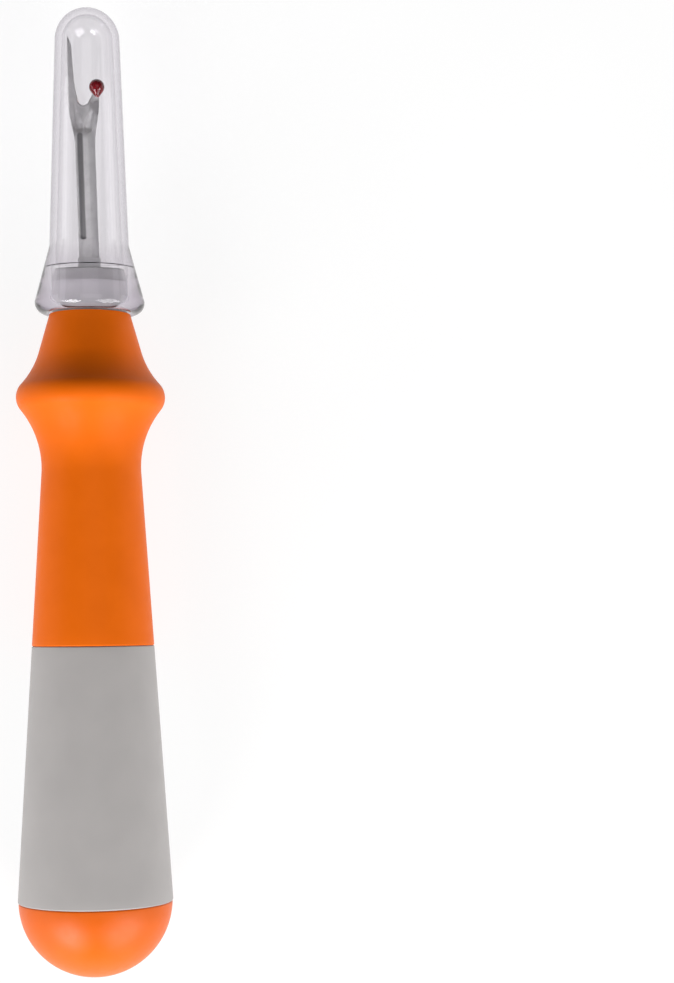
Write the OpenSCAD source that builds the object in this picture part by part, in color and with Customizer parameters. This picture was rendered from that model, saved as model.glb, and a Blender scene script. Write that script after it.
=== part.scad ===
// Seam ripper: forked steel blade with a safety ball, soft two-colour handle, clear push-on cap.
// The tool lies on its side: its axis is parallel to Y, its point is toward +Y and +Z is up.
// Millimetres and degrees. A station is a distance along the axis from the butt end.

/* [Handle] */
// Length of the handle, from the butt end to the front edge of the soft grip
handle_length = 88.8; // [74:0.1:107]
// Largest diameter, at the rear end of the rear sleeve
handle_d = 20.8; // [17.3:0.1:25]
// Length of the butt cap that shows
butt_length = 10.1; // [8.4:0.1:12.2]
// Step in radius between the rear sleeve and the butt cap
butt_step = 0.1; // [0:0.02:0.3]
// Length of the rear sleeve
rear_length = 34.3; // [28:0.1:41.2]
// Diameter of the waist behind the finger bulge
waist_d = 13.3; // [11:0.1:16]
// Distance from the front edge of the grip back to the waist
waist_back = 20.5; // [17:0.1:24.6]
// Diameter of the finger bulge
bulge_d = 19.9; // [16.5:0.1:24]
// Distance from the front edge of the grip back to the crest of the bulge
bulge_back = 11.1; // [9.2:0.1:13.4]
// Radius of the crest of the bulge
bulge_round = 2.6; // [2.1:0.1:3.2]
// Radius of the hollow in front of the bulge
shoulder_round = 11; // [9:0.1:13.2]
// Diameter of the front edge of the grip
neck_d = 10.8; // [9:0.1:13]
// Half angle of the cone of the neck
neck_angle = 16.2; // [13.5:0.1:19.5]
// Width of the bevels that make the fine groove at each colour joint
joint_bevel = 0.2; // [0.1:0.02:0.3]

/* [Core] */
// Thickness of the soft sleeves over the core, along the taper
sleeve_wall = 2; // [1.6:0.1:2.4]
// Wall of the core along the taper
core_wall = 1.5; // [1.2:0.1:1.8]
// Wall of the core round the plug of the butt cap
plug_wall = 2; // [1.6:0.1:2.4]
// Length of the plug of the butt cap
plug_length = 7; // [5.8:0.1:8.4]
// Outer diameter of the core under the neck
core_front_d = 8.2; // [6.8:0.1:9]
// Wall of the core round the plug of the blade holder
socket_wall = 1.1; // [0.9:0.1:1.3]
// Height of the lock rings that key the sleeves to the core
ring_height = 0.6; // [0.5:0.1:0.8]
// Width of the lock rings
ring_width = 2; // [1.6:0.1:2.4]
// Clearance between the core and the pieces moulded over it or pressed into it
fit = 0.02; // [0.01:0.01:0.05]

/* [Blade holder] */
// Diameter of the spigot that carries the cap
spigot_d = 10; // [8.6:0.1:12]
// Length of the spigot
spigot_length = 5.5; // [4.6:0.1:6.6]
// Length of the cone that leads the cap onto the spigot
lead_length = 1.7; // [1.4:0.1:2]
// Depth of that cone
lead_depth = 0.5; // [0.4:0.1:0.7]
// Radius of the top edge of the spigot
spigot_round = 0.35; // [0.2:0.05:0.45]
// How far the square boss at the foot of the blade stands out round the shank
boss_lip = 0.12; // [0.1:0.01:0.3]
// Height of the square boss
boss_h = 1.4; // [1.1:0.1:1.7]
// Length of the plug in the core
holder_plug_length = 16; // [13.5:0.1:19.2]

/* [Blade] */
// Length of the blade from the top of the boss to its point
blade_length = 30.6; // [26:0.1:36.7]
// Width of the shank
shank_w = 2.66; // [2.3:0.02:3.2]
// Thickness of the shank
shank_t = 1.7; // [1.4:0.1:2]
// Lean of the blade toward its long prong
blade_lean = 1.4; // [0:0.1:2]
// Length of the tang inside the holder
tang_length = 19; // [15.8:0.1:20]
// Step in from the shank to the tang, on every side
tang_step = 0.24; // [0.24:0.01:0.3]
// Depth of the notches that lock the tang in the holder
tang_notch = 0.4; // [0.3:0.05:0.5]
// Distance from the point back to the bottom of the fork
fork_depth = 9.4; // [7.8:0.1:11.3]
// Radius of the bottom of the fork
fork_round = 0.7; // [0.6:0.02:0.84]
// Distance from the bottom of the fork back to the start of the head
head_back = 5.6; // [4.7:0.1:6.7]
// Reach of the long prong from the middle of the shank
long_reach = 2.15; // [1.9:0.01:2.6]
// Width of the long prong behind its point
prong_w = 0.75; // [0.62:0.01:0.9]
// Reach of the short prong from the middle of the shank
short_reach = 2.06; // [1.85:0.01:2.5]
// Thickness of the head where the fork starts
head_t = 1.1; // [0.9:0.05:1.3]
// Thickness at the point
point_t = 0.2; // [0.16:0.02:0.26]
// Thickness of the short prong inside the ball
peg_t = 0.36; // [0.3:0.02:0.44]
// Width of the bevels along the prongs and in the fork
edge_bevel = 0.2; // [0.16:0.02:0.24]
// Radius of the flutes in the shank
flute_r = 0.6; // [0.5:0.02:0.72]
// Depth of the flutes
flute_depth = 0.2; // [0.16:0.01:0.24]
// Distance from the boss to the end of the flutes
flute_start = 2.7; // [2.2:0.1:3.3]

/* [Safety ball] */
// Diameter of the ball
ball_d = 2.06; // [1.8:0.02:2.5]
// Length of the drop-shaped tail, from the centre of the ball
ball_tail = 1.7; // [1.5:0.05:2]
// Distance from the bottom of the fork up to the centre of the ball
ball_up = 2.45; // [2.05:0.05:2.9]

/* [Cap] */
// Radial clearance between the spigot and the bore of the cap
cap_fit = 0.05; // [0.02:0.01:0.1]
// Gap between the mouth of the cap and the front edge of the grip
cap_gap = 0.15; // [0.1:0.05:0.3]
// Wall of the tube and the dome of the cap
cap_wall = 0.92; // [0.76:0.02:1.1]
// Width of the ledge inside the cap, above the spigot
ledge_w = 0.55; // [0.45:0.05:0.65]
// Gap between the top of the spigot and the ledge
ledge_gap = 0.55; // [0.4:0.05:0.7]
// Radial thickness of the rim at its widest
rim_wall = 2.28; // [1.96:0.02:2.7]
// Radius of the rolled rim
rim_round = 1.45; // [1.2:0.05:1.75]
// How much wider the mouth is than the bore, on each side
mouth_flare = 0.8; // [0.65:0.05:0.95]
// How far the cone of the mouth reaches into the bore
mouth_depth = 1.15; // [0.95:0.05:1.4]
// Distance from the mouth to the top of the flare
flare_length = 9.1; // [7.6:0.1:11]
// Radius of the hollow where the flare meets the tube
flare_round = 4; // [3.3:0.1:4.8]
// Gap between the inside of the cap and the side of the long prong
side_gap = 0.51; // [0.42:0.01:0.62]
// Gap between the inside of the cap and the point of the blade
point_gap = 2.79; // [2.3:0.01:3.3]

/* [Hidden] */
$fn = 96;

orange = [0.91, 0.42, 0.09];
grey = [0.68, 0.67, 0.66];
steel = [0.72, 0.73, 0.73];
red = [0.55, 0.05, 0.09];
ivory = [0.86, 0.85, 0.82];
clear = [0.92, 0.91, 0.95, 0.35];

// How far a cutting shape runs past the face it cuts
over = 1;

// Stations along the axis
rear_end = butt_length + rear_length;
waist_at = handle_length - waist_back;
bulge_at = handle_length - bulge_back;
spigot_top = handle_length + spigot_length;
boss_top = spigot_top + boss_h;
mouth_at = handle_length + cap_gap;
ledge_at = spigot_top + ledge_gap;
flare_top = mouth_at + flare_length;
inner_end = boss_top + blade_length * cos(blade_lean) + point_gap;
cap_end = inner_end + cap_wall;
holder_end = handle_length - holder_plug_length;
plug_end = butt_length + plug_length;

// Profiles are lists of [radius, station] points.
// Angles in them start at the radial direction and turn toward the point of the tool.
function bearing(from, to) = atan2(to[1] - from[1], to[0] - from[0]);
function turned(t) = [cos(t), sin(t)];
function arc(centre, r, start, end, steps = 10) =
    [for (i = [0:steps]) centre + r * turned(start + (end - start) * i / steps)];
function curve(a, b, c, d, steps = 10) =
    [for (i = [0:steps]) let (t = i / steps, s = 1 - t)
        s * s * s * a + 3 * s * s * t * b + 3 * s * t * t * c + t * t * t * d];
// Rounds the corner between two straight stretches
function fillet(before, corner, after, r, steps = 6) =
    let (u = (before - corner) / norm(before - corner),
         v = (after - corner) / norm(after - corner),
         half = acos(u * v) / 2,
         centre = corner + (u + v) / norm(u + v) * r / sin(half),
         start = bearing(centre, corner + u * r / tan(half)),
         sweep = bearing(centre, corner + v * r / tan(half)) - start)
    arc(centre, r, start, start + sweep - 360 * round(sweep / 360), steps);

// Soft grip: the crest, the waist and the shoulder are arcs that touch one another,
// the rear taper is a straight line that touches the waist, and the neck one that touches the shoulder.
crest = [bulge_d / 2 - bulge_round, bulge_at];
waist_rise = waist_d / 2 - crest[0];
waist_round = (pow(bulge_at - waist_at, 2) + pow(waist_rise, 2) - pow(bulge_round, 2))
    / (2 * (bulge_round - waist_rise));
waist = [waist_d / 2 + waist_round, waist_at];
rear_edge = [handle_d / 2, butt_length];
to_waist = waist - rear_edge;
taper = atan2(to_waist[0], to_waist[1]) - asin(waist_round / norm(to_waist));
taper_end = waist + waist_round * turned(180 - taper);
front_edge = [neck_d / 2, handle_length];
neck_along = turned(90 + neck_angle);
neck_line = front_edge + shoulder_round * turned(neck_angle) - crest;
neck_run = neck_line * neck_along
    - sqrt(pow(neck_line * neck_along, 2) - neck_line * neck_line
           + pow(shoulder_round + bulge_round, 2));
shoulder = crest + neck_line - neck_run * neck_along;
function taper_r(at) = rear_edge[0] + (at - butt_length) * tan(taper);

// Core radii
core_front_r = core_front_d / 2;
core_rear_r = handle_d / 2 - sleeve_wall;
core_waist_r = max(taper_end[0] - sleeve_wall, core_front_r);
core_waist_at = taper_end[1];
socket_r = core_front_r - socket_wall;
plug_r = core_rear_r - plug_wall;
hollow_r = max(core_waist_r - core_wall, socket_r);
function core_r(at) = core_rear_r
    + (core_waist_r - core_rear_r) * (at - butt_length) / (core_waist_at - butt_length);
// Lock rings: two in the rear sleeve, one in the front sleeve
rings = [butt_length + rear_length / 3, butt_length + rear_length * 2 / 3,
         (rear_end + core_waist_at) / 2];

// Blade, in its own frame: x across, z along the shank from the top of the boss, -y to the front
boss_w = shank_w + 2 * boss_lip;
tang_w = shank_w - 2 * tang_step;
tang_t = shank_t - 2 * tang_step;
fork_at = blade_length - fork_depth;
head_at = fork_at - head_back;
// The head thins down over this stretch, just behind the fork
thin_length = 2;
thin_to = fork_at - 2.6;
thin_from = thin_to - thin_length;
// The fork lies a little to the side of the long prong
fork_side = 0.05;
fork_centre = [-fork_side, fork_at + fork_round];
// The ball stands out past the short prong, so its centre is this far inside the prong's edge
ball_inset = 0.26;
ball_at = [short_reach - ball_inset, fork_at + ball_up];
// The long prong's outer edge turns straight this far above the bottom of the fork
straight_up = 1.8;
straight_at = fork_at + straight_up;
// Scoops that hollow the head
scoop_r = 0.9;
scoop_depth = 0.2;

// Cap radii
bore_r = spigot_d / 2 + cap_fit;
ledge_r = bore_r - ledge_w;
rim_centre = [bore_r + rim_wall - rim_round, mouth_at + rim_round];
inner_tip_r = long_reach + blade_length * sin(blade_lean) + side_gap;
dome = [0, inner_end - inner_tip_r];
inner_tilt = touch(dome, inner_tip_r, [ledge_r, ledge_at], 1);
tube_r = ledge_r - (flare_top - ledge_at) * tan(inner_tilt) + cap_wall / cos(inner_tilt);
// Angle at which a line from a point touches a circle
function touch(centre, r, from, side) =
    bearing(centre, from) + side * acos(r / norm(from - centre));

// Lays the tool on its side, with the middle of its footprint at the origin
module lying()
    translate([0, -cap_end / 2, max(handle_d, bulge_d) / 2]) rotate([-90, 0, 0]) children();

module on_blade()
    translate([0, 0, boss_top]) rotate([0, -blade_lean, 0]) children();

// Round bar from one point to another, with a ball at its start
module rod(from, to, r, ball = true) {
    way = to - from;
    translate(from) {
        if (ball) sphere(r);
        rotate([-asin(way[1] / norm(way)), atan2(way[0], way[2]), 0]) cylinder(h = norm(way), r = r);
    }
}

// Front and back of the blade alike, as mirror images
module both_faces() {
    children();
    mirror([0, 1, 0]) children();
}

module clear_cap() color(clear) lying() difference() {
    union() {
        corner = [tube_r, flare_top];
        rim_edge = rim_centre + rim_round * turned(touch(rim_centre, rim_round, corner, -1));
        dome_r = inner_tip_r + cap_wall;
        dome_edge = dome + dome_r * turned(touch(dome, dome_r, corner, 1));
        rotate_extrude() polygon(concat(
            [[0, mouth_at]],
            arc(rim_centre, rim_round, -90, bearing(rim_centre, rim_edge)),
            fillet(rim_edge, corner, dome_edge, flare_round),
            [dome_edge, [0, dome_edge[1]]]));
        translate([0, 0, dome[1]]) sphere(dome_r);
    }
    tube_edge = dome + inner_tip_r * turned(inner_tilt);
    rotate_extrude() polygon([
        [0, mouth_at - over],
        [bore_r + mouth_flare * (1 + over / mouth_depth), mouth_at - over],
        [bore_r, mouth_at + mouth_depth],
        [bore_r, ledge_at],
        [ledge_r, ledge_at],
        tube_edge,
        [0, tube_edge[1]]]);
    translate([0, 0, dome[1]]) sphere(inner_tip_r);
}

// Plan of the blade above the boss, as [x, z]
function blade_plan() = let (
    w = shank_w / 2,
    long_root = [-long_reach, straight_at],
    long_tip = [-long_reach + 0.25, blade_length],
    long_inner = [-long_reach + prong_w, blade_length - 1.4],
    fork_left = fork_centre - [fork_round, 0],
    short_tip = [short_reach - 0.1, ball_at[1] - 0.15],
    short_outer = [short_reach, fork_at + 0.8],
    short_inner = fork_centre + fork_round * turned(-30))
    concat(
        [[w, -over], [-w, -over]],
        curve([-w, head_at], [-w, head_at + 0.36 * head_back],
              [-long_reach, head_at + 0.6 * head_back], long_root),
        [[-long_reach + 0.05, blade_length - 1.2], long_tip],
        curve(long_inner, long_inner + [0.1, -3], fork_left + [-0.5, 1.5], fork_left),
        arc(fork_centre, fork_round, 180, 330),
        [[short_inner[0] + (short_tip[1] - short_inner[1]) * tan(30), short_tip[1]], short_tip],
        curve(short_outer, [short_reach, fork_at - 1.8], [w + 0.07, fork_at - 2.8], [w, head_at]));

// Half of the side view of the blade, as [y, z]
function blade_side() = concat(
    [[0, -over], [shank_t / 2, -over]],
    curve([shank_t / 2, thin_from], [shank_t / 2, thin_from + 0.8],
          [head_t / 2 + 0.05, thin_to - 0.8], [head_t / 2, thin_to], 6),
    [[point_t / 2, blade_length], [0, blade_length]]);

// Blade above the boss before its flutes, scoops and bevels are cut
module blank() difference() {
    intersection() {
        rotate([90, 0, 0]) linear_extrude(2 * shank_t, center = true) polygon(blade_plan());
        rotate([90, 0, 90]) linear_extrude(4 * long_reach, center = true) {
            polygon(blade_side());
            mirror([1, 0]) polygon(blade_side());
        }
    }
    both_faces() translate([fork_centre[0] + fork_round + 0.1, 0, 0])
        rotate([90, 0, 90]) linear_extrude(2 * short_reach) polygon([
            [-head_t / 2, fork_at - 1.6], [-peg_t / 2, fork_at + 0.6], [-peg_t / 2, blade_length],
            [-shank_t, blade_length], [-shank_t, fork_at - 1.6]]);
}

// Flute on one half of the shank and a slanted facet on the other
module shank_cuts() {
    flute_x = -shank_w / 4;
    flute_y = -shank_t / 2 - flute_r + flute_depth;
    facet_x = shank_w / 7;
    facet_fall = 0.3;
    rod([flute_x, flute_y + 0.05, flute_start + flute_r], [flute_x, flute_y, thin_to], flute_r);
    translate([0, 0, -over]) linear_extrude(over + thin_to) polygon([
        [facet_x, -shank_t / 2], [shank_w / 2, facet_fall - shank_t / 2],
        [shank_w, facet_fall - shank_t / 2], [shank_w, -shank_t], [facet_x, -shank_t]]);
}

// Scoops that hollow the head toward each prong, and the bevels of the edges
module head_cuts() {
    scoop_y = -head_t / 2 - scoop_r + scoop_depth;
    runout_y = scoop_y - 0.4 * scoop_depth;
    scoop_x = 0.5;
    rod([fork_centre[0] - scoop_x, scoop_y, thin_to - 0.6],
        [-long_reach + 0.6, runout_y, straight_at + 0.4], scoop_r);
    rod([fork_centre[0] + scoop_x, scoop_y, thin_to - 0.5],
        [short_reach - 0.55, runout_y, fork_at + 1.4], scoop_r);
    cone_h = 1.2;
    cone_deep = 0.35;
    cone_r = fork_round - 0.05;
    translate([fork_centre[0], cone_deep - head_t / 2, fork_centre[1]])
        rotate([90, 0, 0]) cylinder(h = cone_h, r1 = cone_r, r2 = cone_r + cone_h);
    rod([-long_reach, -head_t / 2, thin_to], [-long_reach + 0.05, -point_t / 2, blade_length],
        edge_bevel, false, $fn = 4);
}

module tang() {
    notch_pitch = 4;
    notch = sqrt(2) * tang_notch;
    // The tang runs this far up into the shank
    root = 0.1;
    difference() {
        translate([-tang_w / 2, -tang_t / 2, -tang_length])
            cube([tang_w, tang_t, tang_length + root]);
        for (side = [-1, 1], row = [1:3])
            translate([side * tang_w / 2, 0, -tang_length + row * notch_pitch])
                rotate([0, 45, 0]) cube([notch, 2 * tang_t, notch], center = true);
    }
}

module blade() color(steel) lying() {
    difference() {
        on_blade() difference() {
            blank();
            for (half = [0, 180]) rotate([0, 0, half]) shank_cuts();
            both_faces() head_cuts();
        }
        translate([-spigot_d / 2, -spigot_d / 2, boss_top - 2 * over])
            cube([spigot_d, spigot_d, 2 * over]);
    }
    on_blade() tang();
}

module safety_ball() color(red) lying() on_blade() difference() {
    ball_r = ball_d / 2;
    touch_z = ball_r * ball_r / ball_tail;
    touch_r = ball_r * sqrt(1 - pow(ball_r / ball_tail, 2));
    translate([ball_at[0], 0, ball_at[1]]) union() {
        sphere(ball_r);
        rotate_extrude() polygon([[0, -ball_tail], [touch_r, -touch_z], [0, -touch_z]]);
    }
    blank();
}

module blade_holder() color(grey) lying() difference() {
    spigot_r = spigot_d / 2;
    lead_top = [spigot_r - lead_depth, spigot_top];
    union() {
        rotate_extrude() polygon(concat(
            [[0, holder_end], [socket_r - fit - joint_bevel, holder_end],
             [socket_r - fit, holder_end + joint_bevel], [socket_r - fit, handle_length],
             [spigot_r, handle_length], [spigot_r, spigot_top - lead_length]],
            fillet([spigot_r, spigot_top - lead_length], lead_top, [0, spigot_top], spigot_round),
            [[0, spigot_top]]));
        translate([-boss_w / 2, -boss_w / 2, handle_length])
            cube([boss_w, boss_w, boss_top - handle_length]);
    }
    on_blade() tang();
}

// Outline of the core with its lock rings, grown by a clearance and drawn out past its ends
module core_shape(grow = 0, past = 0) {
    rotate_extrude() polygon(concat(
        [[0, butt_length - past], [core_rear_r + grow, butt_length - past],
         [core_rear_r + grow, butt_length]],
        [for (at = rings, step = [-0.5, -0.25, 0.25, 0.5]) let (z = at + step * ring_width)
            [core_r(z) + grow + (abs(step) < 0.5 ? ring_height : 0), z]],
        [[core_waist_r + grow, core_waist_at],
         [core_front_r + grow, core_waist_at + core_waist_r - core_front_r],
         [core_front_r + grow, handle_length + past], [0, handle_length + past]]));
}

module handle_core() color(ivory) lying() difference() {
    core_shape();
    rotate_extrude() polygon([
        [0, butt_length - over], [plug_r, butt_length - over], [plug_r, plug_end],
        [min(plug_r, core_r(plug_end) - core_wall), plug_end],
        [hollow_r, core_waist_at - over],
        [socket_r, core_waist_at - over + hollow_r - socket_r],
        [socket_r, handle_length + over], [0, handle_length + over]]);
}

module front_grip() color(orange) lying() difference() {
    rotate_extrude() polygon(concat(
        [[0, rear_end], [taper_r(rear_end) - joint_bevel, rear_end],
         [taper_r(rear_end + joint_bevel), rear_end + joint_bevel]],
        arc(waist, waist_round, 180 - taper, bearing(waist, crest), 14),
        arc(crest, bulge_round, bearing(waist, crest) - 180, bearing(crest, shoulder), 14),
        arc(shoulder, shoulder_round, bearing(crest, shoulder) + 180, 180 + neck_angle),
        [front_edge - joint_bevel * neck_along, front_edge - [joint_bevel, 0], [0, handle_length]]));
    core_shape(fit, over);
}

module rear_grip() color(grey) lying() difference() {
    rotate_extrude() polygon([
        [0, butt_length], [handle_d / 2 - joint_bevel, butt_length],
        [taper_r(butt_length + joint_bevel), butt_length + joint_bevel],
        [taper_r(rear_end - joint_bevel), rear_end - joint_bevel],
        [taper_r(rear_end) - joint_bevel, rear_end], [0, rear_end]]);
    core_shape(fit, over);
}

module butt_cap() color(orange) lying() {
    dome_r = handle_d / 2 - butt_step;
    lift = max(butt_length - dome_r, 0);
    edge_r = sqrt(pow(dome_r, 2) - pow(dome_r - butt_length + lift, 2));
    difference() {
        intersection() {
            union() {
                translate([0, 0, dome_r]) sphere(dome_r);
                translate([0, 0, dome_r]) cylinder(h = dome_r, r = dome_r);
            }
            cylinder(h = butt_length, r = handle_d);
        }
        rotate_extrude() polygon([
            [edge_r - joint_bevel - over, butt_length + over],
            [handle_d, butt_length + over], [handle_d, butt_length - handle_d + edge_r - joint_bevel]]);
    }
    translate([0, 0, butt_length - over])
        cylinder(h = plug_length - joint_bevel + over, r = plug_r - fit);
    translate([0, 0, plug_end - joint_bevel])
        cylinder(h = joint_bevel, r1 = plug_r - fit, r2 = plug_r - fit - joint_bevel);
}

clear_cap();
blade();
safety_ball();
blade_holder();
handle_core();
front_grip();
rear_grip();
butt_cap();
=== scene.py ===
"""Seam ripper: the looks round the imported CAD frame.

The tool lies on its side with its axis parallel to Y and its point toward +Y.
Profiles are lists of (radius, station) in millimetres, where a station is a distance from the butt end.
Everything in Blender is in metres.
"""

import math

import bmesh
import bpy
from mathutils import Matrix, Vector


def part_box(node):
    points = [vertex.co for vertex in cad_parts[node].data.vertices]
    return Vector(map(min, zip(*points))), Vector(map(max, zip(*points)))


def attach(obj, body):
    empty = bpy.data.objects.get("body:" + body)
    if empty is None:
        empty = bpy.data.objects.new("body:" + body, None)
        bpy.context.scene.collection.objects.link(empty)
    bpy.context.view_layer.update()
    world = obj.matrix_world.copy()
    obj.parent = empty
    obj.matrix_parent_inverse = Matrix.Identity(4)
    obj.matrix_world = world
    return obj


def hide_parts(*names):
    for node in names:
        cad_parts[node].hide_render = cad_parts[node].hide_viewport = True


MM = 0.001

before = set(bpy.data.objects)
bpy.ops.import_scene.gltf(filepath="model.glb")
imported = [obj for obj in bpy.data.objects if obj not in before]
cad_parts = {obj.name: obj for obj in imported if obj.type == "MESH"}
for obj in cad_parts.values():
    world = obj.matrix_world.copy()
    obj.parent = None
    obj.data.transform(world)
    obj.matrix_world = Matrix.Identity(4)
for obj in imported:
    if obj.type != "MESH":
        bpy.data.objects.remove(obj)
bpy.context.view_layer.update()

# ---------------------------------------------------------------- sizes from the frame, in millimetres

BUTT_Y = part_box("butt_cap")[0].y
AXIS_Z = (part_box("rear_grip")[0].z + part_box("rear_grip")[1].z) / 2


def station(node, end):
    """Station of a CAD node's rear end (0) or front end (1)."""
    return (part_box(node)[end].y - BUTT_Y) / MM


def half_width(node):
    """Largest radius of a CAD node."""
    return (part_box(node)[1].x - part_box(node)[0].x) / 2 / MM


REAR_START = station("rear_grip", 0)
REAR_END = station("rear_grip", 1)
GRIP_END = station("front_grip", 1)
MOUTH = station("clear_cap", 0)
CAP_END = station("clear_cap", 1)
REAR_R = half_width("rear_grip")

# Front grip
WAIST_R = 6.65
WAIST_BACK = 20.5
BULGE_R = 9.95
BULGE_BACK = 11.1
BULGE_ROUND = 2.6
SHOULDER_ROUND = 11
NECK_R = 5.4
NECK_ANGLE = 16.2
EDGE_ROUND = 0.2

# Core, and the pieces over it
SLEEVE_WALL = 2
CORE_FRONT_R = 4.1
RING_HEIGHT = 0.6
RING_WIDTH = 2
FIT = 0.02
PLUG_R = 6.38
PLUG_LENGTH = 7

# Boss of the nose, above the spigot, and half the stretch over which its colour changes to the boss's
# painted light
BOSS_HEIGHT = 1.4
BOSS_BLEND = 0.05

# Butt cap
BUTT_STEP = 0.1

# Clear cap
BORE_R = 5.05
RIM_WALL = 2.28
RIM_ROUND = 1.45
LEDGE = (4.5, 94.85)
FLARE_LENGTH = 9.1
FLARE_ROUND = 4
CAP_WALL = 0.92
TIP_R = 3.41
MOUTH_FLARE = 0.8
MOUTH_DEPTH = 1.15
LEDGE_ROUND = 0.12

# ---------------------------------------------------------------- profiles


def turned(angle):
    """Unit vector at an angle in degrees, from the radial direction toward the point of the tool."""
    return Vector((math.cos(math.radians(angle)), math.sin(math.radians(angle))))


def bearing(start, end):
    """Angle of the way from one point to another."""
    return math.degrees(math.atan2(end[1] - start[1], end[0] - start[0]))


def arc(centre, r, start, end, steps):
    """Points along an arc."""
    return [Vector(centre) + r * turned(start + (end - start) * i / steps) for i in range(steps + 1)]


def touch(centre, r, point, side):
    """Angle at which a line from a point touches a circle."""
    distance = (Vector(point) - Vector(centre)).length
    return bearing(centre, point) + side * math.degrees(math.acos(r / distance))


def rounded(before, corner, after, r, steps=8):
    """Arc that rounds the corner between two straight stretches."""
    corner = Vector(corner)
    u = (Vector(before) - corner).normalized()
    v = (Vector(after) - corner).normalized()
    half = u.angle(v) / 2
    centre = corner + (u + v).normalized() * r / math.sin(half)
    start = bearing(centre, corner + u * r / math.tan(half))
    sweep = bearing(centre, corner + v * r / math.tan(half)) - start
    sweep -= 360 * round(sweep / 360)
    return arc(centre, r, start, start + sweep, steps)


# The crest, the waist and the shoulder are arcs that touch one another
crest = Vector((BULGE_R - BULGE_ROUND, GRIP_END - BULGE_BACK))
waist_rise = WAIST_R - crest.x
waist_reach = WAIST_BACK - BULGE_BACK
waist_gap = BULGE_ROUND - waist_rise
waist_round = (waist_reach ** 2 + waist_rise ** 2 - BULGE_ROUND ** 2) / (2 * waist_gap)
waist = Vector((WAIST_R + waist_round, GRIP_END - WAIST_BACK))
rear_edge = Vector((REAR_R, REAR_START))
to_waist = waist - rear_edge
taper = math.degrees(math.atan2(to_waist.x, to_waist.y) - math.asin(waist_round / to_waist.length))
taper_end = waist + waist_round * turned(180 - taper)
front_edge = Vector((NECK_R, GRIP_END))
neck_along = turned(90 + NECK_ANGLE)
neck_line = front_edge + SHOULDER_ROUND * turned(NECK_ANGLE) - crest
neck_dot = neck_line.dot(neck_along)
both_rounds = SHOULDER_ROUND + BULGE_ROUND
neck_run = neck_dot - math.sqrt(neck_dot ** 2 - neck_line.length_squared + both_rounds ** 2)
shoulder = crest + neck_line - neck_run * neck_along


def taper_r(at):
    """Radius of the rear taper at a station."""
    return REAR_R + (at - REAR_START) * math.tan(math.radians(taper))


core_rear_r = REAR_R - SLEEVE_WALL
core_waist_r = taper_end.x - SLEEVE_WALL


def bore_outline(start, end, ring_stations):
    """Inside of a sleeve from its rear end to its front end, with grooves for the core's lock rings."""
    slope = (core_waist_r - core_rear_r) / (taper_end.y - REAR_START)
    points = [(start, 0)]
    for at in ring_stations:
        points += [(at - RING_WIDTH / 2, 0), (at - RING_WIDTH / 4, RING_HEIGHT)]
        points += [(at + RING_WIDTH / 4, RING_HEIGHT), (at + RING_WIDTH / 2, 0)]
    stop = min(end, taper_end.y)
    points.append((stop, 0))
    outline = [Vector((core_rear_r + (z - REAR_START) * slope + FIT + up, z)) for z, up in points]
    if end > stop:
        outline.append(Vector((CORE_FRONT_R + FIT, stop + core_waist_r - CORE_FRONT_R)))
        outline.append(Vector((CORE_FRONT_R + FIT, end)))
    return outline


def front_grip_profile():
    rear_corner = rounded((0, REAR_END), (taper_r(REAR_END), REAR_END), taper_end, EDGE_ROUND)
    front_corner = rounded(shoulder, front_edge, (0, GRIP_END), EDGE_ROUND)
    outside = (
        rear_corner
        + arc(waist, waist_round, 180 - taper, bearing(waist, crest), steps=40)
        + arc(crest, BULGE_ROUND, bearing(waist, crest) - 180, bearing(crest, shoulder), steps=32)
        + arc(shoulder, SHOULDER_ROUND, bearing(crest, shoulder) + 180, 180 + NECK_ANGLE, steps=32)
        + front_corner
    )
    inside = bore_outline(REAR_END, GRIP_END, [(REAR_END + taper_end.y) / 2])
    return outside + inside[::-1]


def rear_grip_profile():
    length = REAR_END - REAR_START
    start = Vector((REAR_R, REAR_START))
    end = Vector((taper_r(REAR_END), REAR_END))
    rear_corner = rounded((0, REAR_START), start, end, EDGE_ROUND)
    front_corner = rounded(start, end, (0, REAR_END), EDGE_ROUND)
    inside = bore_outline(REAR_START, REAR_END, [REAR_START + length / 3, REAR_START + length * 2 / 3])
    return rear_corner + front_corner + inside[::-1]


def butt_cap_profile():
    r = REAR_R - BUTT_STEP
    dome = arc((0, r), r, -90, 0, steps=64)
    edge = Vector((r * math.sqrt(1 - (1 - REAR_START / r) ** 2), REAR_START))
    dome = [p for p in dome if p.y < REAR_START - EDGE_ROUND]
    corner = rounded(dome[-1], edge, (0, REAR_START), EDGE_ROUND)
    end = REAR_START + PLUG_LENGTH
    plug_root = Vector((PLUG_R, REAR_START))
    plug = rounded(plug_root, (PLUG_R, end), (0, end), EDGE_ROUND)
    return dome + corner + [plug_root] + plug + [Vector((0, end))]


def rolled_mouth(steps=20):
    """Quarter of an ellipse that rounds the mouth's inner edge."""
    turn = [math.pi / 2 * i / steps for i in range(steps + 1)]
    edge = Vector((BORE_R + MOUTH_FLARE, MOUTH + MOUTH_DEPTH))
    return [edge - Vector((MOUTH_FLARE * math.cos(t), MOUTH_DEPTH * math.sin(t))) for t in turn]


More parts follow.
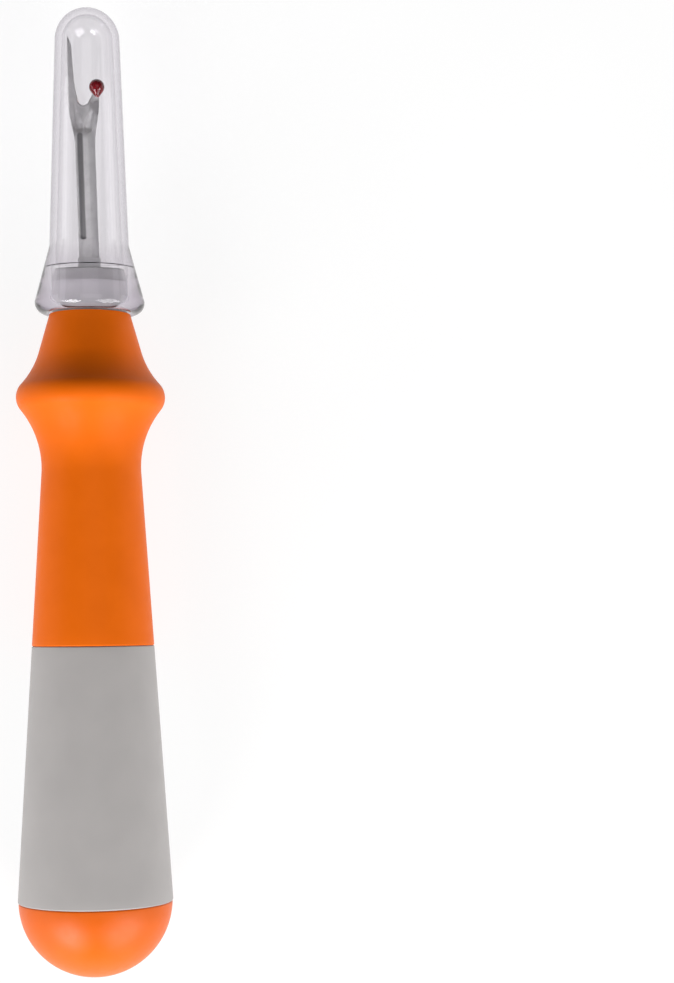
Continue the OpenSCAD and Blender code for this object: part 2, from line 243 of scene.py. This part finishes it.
def clear_cap_profile():
    rim = Vector((BORE_R + RIM_WALL - RIM_ROUND, MOUTH + RIM_ROUND))
    dome = Vector((0, CAP_END - CAP_WALL - TIP_R))
    dome_r = TIP_R + CAP_WALL
    tilt = touch(dome, TIP_R, LEDGE, 1)
    flare_top = MOUTH + FLARE_LENGTH
    drop = (flare_top - LEDGE[1]) * math.tan(math.radians(tilt))
    corner = Vector((LEDGE[0] - drop + CAP_WALL / math.cos(math.radians(tilt)), flare_top))
    rim_edge = rim + RIM_ROUND * turned(touch(rim, RIM_ROUND, corner, -1))
    dome_start = touch(dome, dome_r, corner, 1)
    flare_end = dome + dome_r * turned(dome_start)
    bore_top = (BORE_R, LEDGE[1])
    inner_start = dome + TIP_R * turned(tilt)
    outside = (
        arc(rim, RIM_ROUND, -90, bearing(rim, rim_edge), steps=40)
        + rounded(rim_edge, corner, flare_end, FLARE_ROUND, steps=20)
        + arc(dome, dome_r, dome_start, 90, steps=48)
    )
    inside = (
        arc(dome, TIP_R, 90, tilt, steps=48)
        + rounded(inner_start, LEDGE, bore_top, LEDGE_ROUND)
        + rounded(LEDGE, bore_top, (BORE_R, MOUTH), LEDGE_ROUND)
        + rolled_mouth()
    )
    return outside + inside


# ---------------------------------------------------------------- mesh tools

# Faces round a solid of revolution, and the longest stretch of its outline in millimetres
SEGMENTS = 192
LONGEST = 1.5

# A radius or a stretch below this counts as none, in millimetres
ON_AXIS = 1e-4

# Edges that turn by more than this are shaded as edges
SHARP = math.radians(35)


def on_axis(point):
    return point[0] < ON_AXIS


def subdivided(profile, closed):
    """The same profile with long straight stretches split, so that the mesh has even faces."""
    result = []
    last = len(profile) if closed else len(profile) - 1
    for i in range(last):
        a = Vector(profile[i])
        b = Vector(profile[(i + 1) % len(profile)])
        if (b - a).length < ON_AXIS:
            continue
        pieces = 1 if on_axis(a) and on_axis(b) else math.ceil((b - a).length / LONGEST)
        result += [a.lerp(b, k / pieces) for k in range(pieces)]
    if not closed:
        result.append(Vector(profile[-1]))
    return result


def lathe(name, profile, closed=True):
    """Solid of revolution round the tool's axis. An open profile starts and ends on the axis."""
    mesh_tool = bmesh.new()
    turn = [2 * math.pi * k / SEGMENTS for k in range(SEGMENTS)]
    rings = []
    for radius, at in subdivided(profile, closed):
        y = BUTT_Y + at * MM
        if on_axis((radius, at)):
            rings.append([mesh_tool.verts.new((0, y, AXIS_Z))] * SEGMENTS)
            continue
        rings.append([
            mesh_tool.verts.new((radius * MM * math.sin(t), y, AXIS_Z + radius * MM * math.cos(t)))
            for t in turn
        ])
    pairs = list(zip(rings, rings[1:]))
    if closed:
        pairs.append((rings[-1], rings[0]))
    for a, b in pairs:
        if a[0] == a[1] and b[0] == b[1]:
            continue
        for k in range(SEGMENTS):
            n = (k + 1) % SEGMENTS
            corners = list(dict.fromkeys([a[k], a[n], b[n], b[k]]))
            mesh_tool.faces.new(corners)
    bmesh.ops.recalc_face_normals(mesh_tool, faces=mesh_tool.faces)
    return finish_mesh(name, mesh_tool)


def finish_mesh(name, mesh_tool):
    mesh = bpy.data.meshes.new(name)
    mesh_tool.to_mesh(mesh)
    mesh_tool.free()
    piece = bpy.data.objects.new(name, mesh)
    bpy.context.scene.collection.objects.link(piece)
    mesh.shade_smooth()
    mesh.set_sharp_from_angle(angle=SHARP)
    return piece


# Lean of the blade in the nose
BLADE_LEAN = math.radians(1.4)

# Wear of the blade's edges, with its sizes in millimetres
WELD = 0.001
VOXEL = 0.05
SMOOTHING = 0.5
WEAR_PASSES = 1
KEPT_FACES = 0.3

# The shank's flutes and slanted facets, in millimetres square to it, and how much painted shade darkens
# the steel in them
SHANK_HALF_W = 1.33
SHANK_EDGE = 0.06
FLUTE_START = 2.7
FLUTE_END = 17
FLUTE_X = 0.665
FLUTE_HALF_W = 0.447
FLUTE_FADE = 1.6
FACET_X = 0.38
FACET_PAINTED_SHADE = 0.4

# Root of the short prong, along the blade in millimetres, and how it is smoothed
FORK_AT = 21.2
SOFT_REACH = 2.6
SOFT_RISE = 2
SOFT_PASSES = 40


def mark_painted_shade(mesh):
    """Marks the painted shade on the shank's steel: painted shade in the flutes, and more of it out
    along the slanted facets.
    """
    painted_shade = mesh.attributes.new("painted_shade", "FLOAT", "POINT")
    for vertex, mark in zip(mesh.vertices, painted_shade.data):
        x, along, up = vertex.co
        mark.value = 0
        if x * up < 0:
            beyond = max(FLUTE_START + FLUTE_HALF_W - along, along - FLUTE_END, 0)
            away = math.hypot(abs(x) - FLUTE_X, beyond) / FLUTE_HALF_W
            mark.value = min(max(FLUTE_FADE - FLUTE_FADE * away ** 2, 0), 1)
        elif FLUTE_START < along < FLUTE_END and abs(x) < SHANK_HALF_W - SHANK_EDGE:
            mark.value = FACET_PAINTED_SHADE * max(abs(x) - FACET_X, 0) / (SHANK_HALF_W - FACET_X)


def mark_soft(piece):
    """Vertex group of the short prong's root, where its face runs out smoothly toward the ball."""
    soft = piece.vertex_groups.new(name="soft")
    for vertex in piece.data.vertices:
        x, along, up = vertex.co
        away = abs(along - FORK_AT) / SOFT_REACH
        if x > 0 and away < 1:
            soft.add([vertex.index], min(SOFT_RISE * (1 - away), 1), "REPLACE")


def evaluated_mesh(piece):
    graph = bpy.context.evaluated_depsgraph_get()
    return bpy.data.meshes.new_from_object(piece.evaluated_get(graph))


def worn_copy(node, name):
    """A copy of the blade's CAD node with worn edges, remeshed square to the shank in millimetres."""
    mesh_tool = bmesh.new()
    mesh_tool.from_mesh(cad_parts[node].data)
    bmesh.ops.remove_doubles(mesh_tool, verts=mesh_tool.verts, dist=WELD * MM)
    pivot = Matrix.Translation((0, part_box("blade_holder")[1].y, AXIS_Z))
    upright = Matrix.Scale(1 / MM, 4) @ Matrix.Rotation(-BLADE_LEAN, 4, "Z") @ pivot.inverted()
    mesh_tool.transform(upright)
    raw = finish_mesh(name, mesh_tool)
    remesh = raw.modifiers.new("remesh", "REMESH")
    remesh.mode = "VOXEL"
    remesh.voxel_size = VOXEL
    smooth = raw.modifiers.new("smooth", "SMOOTH")
    smooth.factor = SMOOTHING
    smooth.iterations = WEAR_PASSES
    raw.data = evaluated_mesh(raw)
    raw.modifiers.clear()
    mark_soft(raw)
    run_out = raw.modifiers.new("run_out", "SMOOTH")
    run_out.factor = SMOOTHING
    run_out.iterations = SOFT_PASSES
    run_out.use_x = False
    run_out.use_y = False
    run_out.vertex_group = "soft"
    reduce = raw.modifiers.new("reduce", "DECIMATE")
    reduce.ratio = KEPT_FACES
    mesh = evaluated_mesh(raw)
    mark_painted_shade(mesh)
    mesh.transform(upright.inverted())
    raw.modifiers.clear()
    raw.vertex_groups.clear()
    raw.data = mesh
    mesh.shade_smooth()
    return raw


def place(piece, body, slot, surface, *nodes):
    """Gives a piece its material, and lets it ride on a body in place of CAD nodes."""
    piece.data.materials.clear()
    piece.data.materials.append(surface)
    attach(piece, body)
    if nodes:
        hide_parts(*nodes)


# ---------------------------------------------------------------- materials


# Noise stays mostly between these values
NOISE_LOW = 0.3
NOISE_HIGH = 0.7

# Sockets of a Mix node that mixes colours
MIX_FIRST = 6
MIX_SECOND = 7
MIX_RESULT = 2


class Surface:
    """A material and short ways to add nodes to it."""

    def __init__(self, name, **values):
        self.material = bpy.data.materials.new(name)
        self.material.use_nodes = True
        self.tree = self.material.node_tree
        self.shader = self.tree.nodes["Principled BSDF"]
        self.output = self.tree.nodes["Material Output"]
        self.coordinates = self.tree.nodes.new("ShaderNodeTexCoord").outputs["Object"]
        for key, value in values.items():
            self.shader.inputs[key.replace("_", " ")].default_value = value

    def node(self, kind, settings=None, **inputs):
        node = self.tree.nodes.new("ShaderNode" + kind)
        for key, value in (settings or {}).items():
            setattr(node, key, value)
        for key, value in inputs.items():
            socket = node.inputs[key.replace("_", " ")]
            if isinstance(value, bpy.types.NodeSocket):
                self.tree.links.new(value, socket)
            else:
                socket.default_value = value
        return node

    def noise(self, size, detail=3, roughness=0.5, stretch=(1, 1, 1)):
        """Noise whose features are about size metres across."""
        vector = self.coordinates
        if stretch != (1, 1, 1):
            vector = self.node("Mapping", Vector=vector, Scale=stretch).outputs["Vector"]
        inputs = {"Vector": vector, "Scale": 1 / size, "Detail": detail, "Roughness": roughness}
        return self.node("TexNoise", **inputs).outputs["Fac"]

    def ranged(self, value, low, high, from_low=NOISE_LOW, from_high=NOISE_HIGH):
        """The value spread over low to high."""
        ends = {"From_Min": from_low, "From_Max": from_high, "To_Min": low, "To_Max": high}
        return self.node("MapRange", Value=value, **ends).outputs["Result"]

    def between(self, value, first, second):
        """Colour from first to second as the value goes from low to high."""
        ramp = self.node("ValToRGB", Fac=value)
        ramp.color_ramp.elements[0].color = (*first, 1)
        ramp.color_ramp.elements[0].position = NOISE_LOW
        ramp.color_ramp.elements[1].color = (*second, 1)
        ramp.color_ramp.elements[1].position = NOISE_HIGH
        return ramp.outputs["Color"]

    def bump(self, height, depth, normal=None):
        """Bump of a depth in metres, on top of another bump."""
        inputs = {"Height": height, "Distance": depth, "Strength": 1.0}
        if normal is not None:
            inputs["Normal"] = normal
        return self.node("Bump", **inputs).outputs["Normal"]

    def link(self, source, socket):
        self.tree.links.new(source, self.shader.inputs[socket])


def soft_grip(name, dark, light, low=0.42, high=0.5):
    """Silky moulded elastomer: a fine grain and a trace of unevenness."""
    surface = Surface(name, Specular_IOR_Level=0.1)
    grain = surface.noise(0.16 * MM, detail=4, roughness=0.6)
    uneven = surface.noise(5 * MM, detail=2)
    surface.link(surface.between(uneven, dark, light), "Base Color")
    surface.link(surface.ranged(surface.noise(1.1 * MM), low, high), "Roughness")
    surface.link(surface.bump(grain, 0.012 * MM, surface.bump(uneven, 0.02 * MM)), "Normal")
    return surface.material


def hard_plastic(name, dark, light, low=0.36, high=0.44):
    """Moulded plastic with a satin finish."""
    surface = Surface(name, Specular_IOR_Level=0.25)
    grain = surface.noise(0.12 * MM, detail=3, roughness=0.6)
    uneven = surface.noise(4 * MM, detail=2)
    surface.link(surface.between(uneven, dark, light), "Base Color")
    surface.link(surface.ranged(surface.noise(0.9 * MM), low, high), "Roughness")
    surface.link(surface.bump(grain, 0.006 * MM, surface.bump(uneven, 0.01 * MM)), "Normal")
    return surface.material


def nose_plastic(name, nose, boss, boss_start):
    """Satin plastic of the nose; its boss is painted paler, a painted light where the spigot shades it.
    """
    surface = Surface(name, Specular_IOR_Level=0.25)
    along = surface.node("SeparateXYZ", Vector=surface.coordinates).outputs["Y"]
    blend = BOSS_BLEND * MM
    # Painted light: above boss_start the colour turns to the boss's paler painted light
    step = surface.ranged(along, 0, 1, boss_start - blend, boss_start + blend)
    surface.link(surface.between(step, nose, boss), "Base Color")
    surface.link(surface.ranged(surface.noise(0.9 * MM), 0.36, 0.44), "Roughness")
    grain = surface.noise(0.12 * MM, detail=3, roughness=0.6)
    uneven = surface.bump(surface.noise(4 * MM), 0.01 * MM)
    surface.link(surface.bump(grain, 0.006 * MM, uneven), "Normal")
    return surface.material


def tumbled_steel(name):
    """Stamped steel, tumbled until its skin is grainy and its brush marks are faint."""
    surface = Surface(name, Metallic=1.0, Anisotropic=0.3)
    pits = surface.noise(0.12 * MM, detail=4, roughness=0.65)
    marks = surface.noise(0.09 * MM, detail=2, stretch=(1, 0.08, 1))
    cloud = surface.noise(1.2 * MM, detail=4)
    dents = surface.noise(0.45 * MM, detail=2)
    unshaded_steel = surface.between(cloud, STEEL_DARK, STEEL_LIGHT)
    # Painted shade: the steel turns dark grey in the flutes and along the slanted facets
    painted_shade = surface.node("Attribute", {"attribute_name": "painted_shade"}).outputs["Fac"]
    mixed = surface.node("Mix", {"data_type": "RGBA"})
    surface.tree.links.new(painted_shade, mixed.inputs["Factor"])
    surface.tree.links.new(unshaded_steel, mixed.inputs[MIX_FIRST])
    mixed.inputs[MIX_SECOND].default_value = (*PAINTED_SHADE_GREY, 1)
    surface.link(mixed.outputs[MIX_RESULT], "Base Color")
    surface.link(surface.ranged(pits, 0.30, 0.48), "Roughness")
    scratched = surface.bump(marks, 0.008 * MM, surface.bump(dents, 0.055 * MM))
    surface.link(surface.bump(pits, 0.028 * MM, scratched), "Normal")
    return surface.material


def red_enamel(name):
    """Glossy dipped plastic, a little cloudy inside."""
    surface = Surface(name, Roughness=0.07, Specular_IOR_Level=0.55)
    cloud = surface.noise(0.7 * MM, detail=2)
    surface.link(surface.between(cloud, RED_DARK, RED_LIGHT), "Base Color")
    surface.link(surface.bump(surface.noise(0.5 * MM), 0.012 * MM), "Normal")
    return surface.material


CLEAR_DENSITY = 280


def clear_plastic(name):
    """Clear styrene, lilac where it is thick. Lamps shine through it."""
    surface = Surface(name, Base_Color=(*WHITE, 1), Transmission_Weight=1.0, IOR=1.52)
    # Painted shade: the cap's colour darkens toward grazing angles, so its silhouettes look dark
    edge = surface.node("LayerWeight", Blend=0.35).outputs["Facing"]
    surface.link(surface.between(edge, WHITE, CLEAR_EDGE_SHADE), "Base Color")
    surface.link(surface.ranged(surface.noise(3 * MM), 0.02, 0.06), "Roughness")
    surface.link(surface.bump(surface.noise(4 * MM, detail=1), 0.015 * MM), "Normal")
    see_through = surface.node("BsdfTransparent", Color=(*CLEAR_SHADOW, 1))
    lamp = surface.node("LightPath").outputs["Is Shadow Ray"]
    mix = surface.node("MixShader", Fac=lamp)
    surface.tree.links.new(surface.shader.outputs["BSDF"], mix.inputs[1])
    surface.tree.links.new(see_through.outputs["BSDF"], mix.inputs[2])
    surface.tree.links.new(mix.outputs["Shader"], surface.output.inputs["Surface"])
    tint = surface.node("VolumeAbsorption", Color=(*CLEAR_TINT, 1), Density=CLEAR_DENSITY)
    surface.tree.links.new(tint.outputs["Volume"], surface.output.inputs["Volume"])
    return surface.material


FLOOR_GLOW = 0.82


def floor_paper(name):
    """Plain pale paper on a light table, so that shadows on it stay faint."""
    surface = Surface(name, Roughness=0.8, Specular_IOR_Level=0.1, Emission_Strength=FLOOR_GLOW)
    surface.shader.inputs["Emission Color"].default_value = (*WHITE, 1)
    cloud = surface.noise(60 * MM, detail=2)
    surface.link(surface.between(cloud, PAPER_DARK, PAPER_LIGHT), "Base Color")
    surface.link(surface.bump(surface.noise(0.5 * MM), 0.01 * MM), "Normal")
    return surface.material


ORANGE_DARK = (0.77, 0.132, 0.002)
ORANGE_LIGHT = (0.81, 0.142, 0.003)
BUTT_DARK = (0.70, 0.114, 0.002)
BUTT_LIGHT = (0.74, 0.122, 0.003)
GREY_DARK = (0.405, 0.385, 0.378)
GREY_LIGHT = (0.425, 0.404, 0.396)
NOSE_GREY = (0.57, 0.58, 0.56)
# Painted light: the boss is painted near white, paler than the nose's grey
BOSS_PAINTED_LIGHT = (0.93, 0.94, 0.92)
STEEL_DARK = (0.84, 0.84, 0.83)
STEEL_LIGHT = (0.97, 0.97, 0.96)
# Painted shade of the shank's flutes and slanted facets
PAINTED_SHADE_GREY = (0.36, 0.36, 0.36)
RED_DARK = (0.11, 0.001, 0.004)
RED_LIGHT = (0.16, 0.002, 0.006)
# Painted shade at the clear cap's silhouettes
CLEAR_EDGE_SHADE = (0.45, 0.435, 0.465)
CLEAR_SHADOW = (0.88, 0.865, 0.895)
CLEAR_TINT = (0.62, 0.57, 0.64)
CORE_DARK = (0.70, 0.68, 0.62)
CORE_LIGHT = (0.72, 0.70, 0.64)
PAPER_DARK = (0.19, 0.19, 0.19)
PAPER_LIGHT = (0.21, 0.21, 0.21)
WHITE = (1, 1, 1)

# ---------------------------------------------------------------- pieces

front_grip = lathe("front_grip_sleeve", front_grip_profile())
orange_soft = soft_grip("orange_soft", ORANGE_DARK, ORANGE_LIGHT)
place(front_grip, "handle", "orange_soft", orange_soft, "front_grip")

rear_grip = lathe("rear_grip_sleeve", rear_grip_profile())
grey_soft = soft_grip("grey_soft", GREY_DARK, GREY_LIGHT)
place(rear_grip, "handle", "grey_soft", grey_soft, "rear_grip")

butt_cap = lathe("butt_dome", butt_cap_profile(), closed=False)
orange_plastic = hard_plastic("orange_plastic", BUTT_DARK, BUTT_LIGHT)
place(butt_cap, "handle", "orange_plastic", orange_plastic, "butt_cap")

clear_cap = lathe("clear_cap_shell", clear_cap_profile())
place(clear_cap, "cap", "clear_plastic", clear_plastic("clear_plastic"), "clear_cap")


def dress(node, surface):
    """Gives a CAD node that stays as it is a better material."""
    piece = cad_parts[node]
    piece.data.materials.clear()
    piece.data.materials.append(surface)


fork_blade = worn_copy("blade", "fork_blade")
place(fork_blade, "handle", "blade_steel", tumbled_steel("blade_steel"), "blade")
boss_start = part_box("blade_holder")[1].y - BOSS_HEIGHT * MM
grey_plastic = nose_plastic("grey_plastic", NOSE_GREY, BOSS_PAINTED_LIGHT, boss_start)
dress("blade_holder", grey_plastic)
dress("safety_ball", red_enamel("red_plastic"))
core_plastic = hard_plastic("core_plastic", CORE_DARK, CORE_LIGHT)
dress("handle_core", core_plastic)

# ---------------------------------------------------------------- stage, lights and camera

FLOOR_RADIUS = 5.0
FLOOR_SEGMENTS = 128


def make_floor():
    tool = bmesh.new()
    bmesh.ops.create_circle(tool, cap_ends=True, segments=FLOOR_SEGMENTS, radius=FLOOR_RADIUS)
    floor = finish_mesh("floor", tool)
    floor.data.materials.append(floor_paper("floor_paper"))


def soft_box(name, aside, back, distance, size, share):
    """Area lamp that adds a share of full light to a white floor.

    aside is its angle to the right of straight above and back its angle toward the butt end, in degrees.
    """
    lamp = bpy.data.lights.new(name, "AREA")
    lamp.shape = "RECTANGLE"
    lamp.size, lamp.size_y = size
    toward = Vector((0, 0, 1))
    toward.rotate(Matrix.Rotation(math.radians(back), 3, "X"))
    toward.rotate(Matrix.Rotation(math.radians(aside), 3, "Y"))
    lamp.energy = share * (math.pi * distance) ** 2 / toward.z
    holder = bpy.data.objects.new(name, lamp)
    holder.location = toward * distance
    holder.rotation_euler = toward.to_track_quat("Z", "Y").to_euler()
    holder.visible_camera = False
    bpy.context.scene.collection.objects.link(holder)


def make_world(light, seen):
    """Even light from all round, and the brightness that the camera sees above the horizon."""
    world = bpy.data.worlds.new("studio")
    world.use_nodes = True
    nodes = world.node_tree.nodes
    background = nodes["Background"]
    background.inputs["Color"].default_value = (*WHITE, 1)
    background.inputs["Strength"].default_value = light
    shown = nodes.new("ShaderNodeBackground")
    shown.inputs["Color"].default_value = (*WHITE, 1)
    shown.inputs["Strength"].default_value = seen
    path = nodes.new("ShaderNodeLightPath")
    mix = nodes.new("ShaderNodeMixShader")
    links = world.node_tree.links
    links.new(path.outputs["Is Camera Ray"], mix.inputs["Fac"])
    links.new(background.outputs["Background"], mix.inputs[1])
    links.new(shown.outputs["Background"], mix.inputs[2])
    links.new(mix.outputs["Shader"], nodes["World Output"].inputs["Surface"])
    bpy.context.scene.world = world


# Camera: straight above, with the tool at the left of the view. Turns are in degrees
EYE_X = 0.13 * MM
EYE_Y = -17.9 * MM
EYE_UP = 281.2 * MM
YAW = 6.664
ROLL = 0.589
LENS = 76.15
SHIFT_Y = 0.1339
CLIP_START = 0.01


def make_camera():
    data = bpy.data.cameras.new("camera")
    data.lens = LENS
    data.shift_y = SHIFT_Y
    data.dof.use_dof = False
    data.clip_start = CLIP_START
    camera = bpy.data.objects.new("camera", data)
    bpy.context.scene.collection.objects.link(camera)
    turn = Matrix.Rotation(math.radians(-YAW), 4, "Y") @ Matrix.Rotation(math.radians(-ROLL), 4, "Z")
    camera.matrix_world = Matrix.Translation((EYE_X, EYE_Y, AXIS_Z + EYE_UP)) @ turn
    bpy.context.scene.camera = camera


make_camera()
make_floor()
make_world(light=0.03, seen=0.82)
soft_box("left_key", aside=-48, back=47, distance=0.7, size=(0.34, 0.34), share=0.4)
soft_box("right_key", aside=48, back=43, distance=0.7, size=(0.5, 0.45), share=0.44)
soft_box("top_box", aside=3, back=0, distance=0.7, size=(0.55, 0.55), share=0.16)
soft_box("left_box", aside=-76, back=12, distance=0.6, size=(0.8, 0.2), share=0.06)
soft_box("right_box", aside=75, back=12, distance=0.6, size=(0.8, 0.2), share=0.05)
bpy.context.scene.view_settings.view_transform = "Standard"
